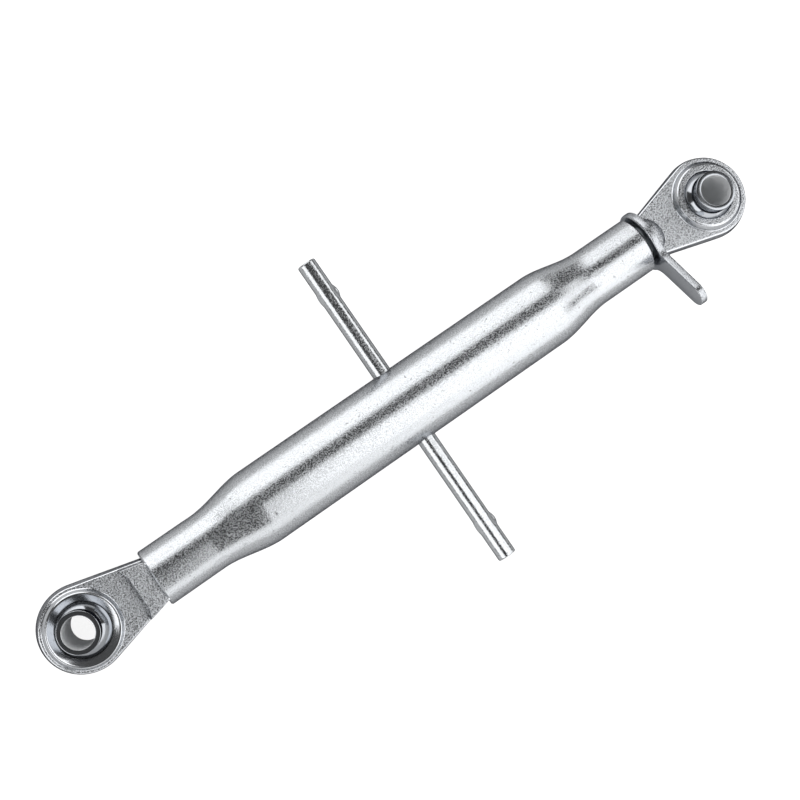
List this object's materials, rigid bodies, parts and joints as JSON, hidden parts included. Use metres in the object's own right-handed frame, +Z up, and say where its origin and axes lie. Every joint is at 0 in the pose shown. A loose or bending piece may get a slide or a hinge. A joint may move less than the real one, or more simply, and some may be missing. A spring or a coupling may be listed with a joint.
{
  "type": "tractor top link",
  "caption": "Turnbuckle top link: swaged barrel with sliding tommy bar, forged ball eyes on threaded shanks and a lock nut with a lever.",
  "frame": {"origin": "on the surface the link lies on, under the middle of its length (bottom centre of its bounding box)", "axes": "+X along the link towards the end with the lock nut, +Y along the tommy bar, +Z up"},
  "size_m": [0.521, 0.216, 0.057],
  "materials": {
    "barrel": "bright zinc plated, lightly scratched tube",
    "tommy_bar": "smooth bright zinc plated bar",
    "eye_left": "zinc plated forging with a sandy skin and a turned ring",
    "eye_right": "zinc plated forging with a sandy skin and a turned ring",
    "ball_left": "polished steel ball",
    "ball_right": "polished steel ball",
    "lock_nut": "satin zinc plated plate"
  },
  "bodies": {
    "barrel": {"barrel": "barrel"},
    "tommy_bar": {"tommy_bar": "tommy_bar"},
    "eye_left": {"eye_left": "eye_left"},
    "eye_right": {"eye_right": "eye_right"},
    "ball_left": {"ball_left": "ball_left"},
    "ball_right": {"ball_right": "ball_right"},
    "lock_nut": {"lock_nut": "lock_nut"}
  },
  "joints": [
    {"name": "bar_slide", "type": "slide", "parent": "barrel", "child": "tommy_bar", "axis": [0, 1, 0], "range_m": [-0.0522, 0.0574]},
    {"name": "left_eye_screw", "type": "slide", "parent": "barrel", "child": "eye_left", "axis": [-1, 0, 0], "range_m": [0, 0.105]},
    {"name": "right_eye_screw", "type": "slide", "parent": "barrel", "child": "eye_right", "axis": [1, 0, 0], "range_m": [0, 0.105]},
    {"name": "lock_nut_turn", "type": "hinge", "parent": "eye_right", "child": "lock_nut", "pos_m": [0.18285, 0, 0.02415], "axis": [1, 0, 0], "continuous": true},
    {"name": "left_ball_tilt", "type": "hinge", "parent": "eye_left", "child": "ball_left", "pos_m": [-0.2338, 0, 0.02415], "axis": [0, 1, 0], "range_deg": [-3, 17]},
    {"name": "right_ball_tilt", "type": "hinge", "parent": "eye_right", "child": "ball_right", "pos_m": [0.2338, 0, 0.02415], "axis": [0, 1, 0], "range_deg": [-12, 11]}
  ],
  "couplings": [
    {"joint": "right_eye_screw", "follows": "left_eye_screw", "ratio": 1}
  ]
}
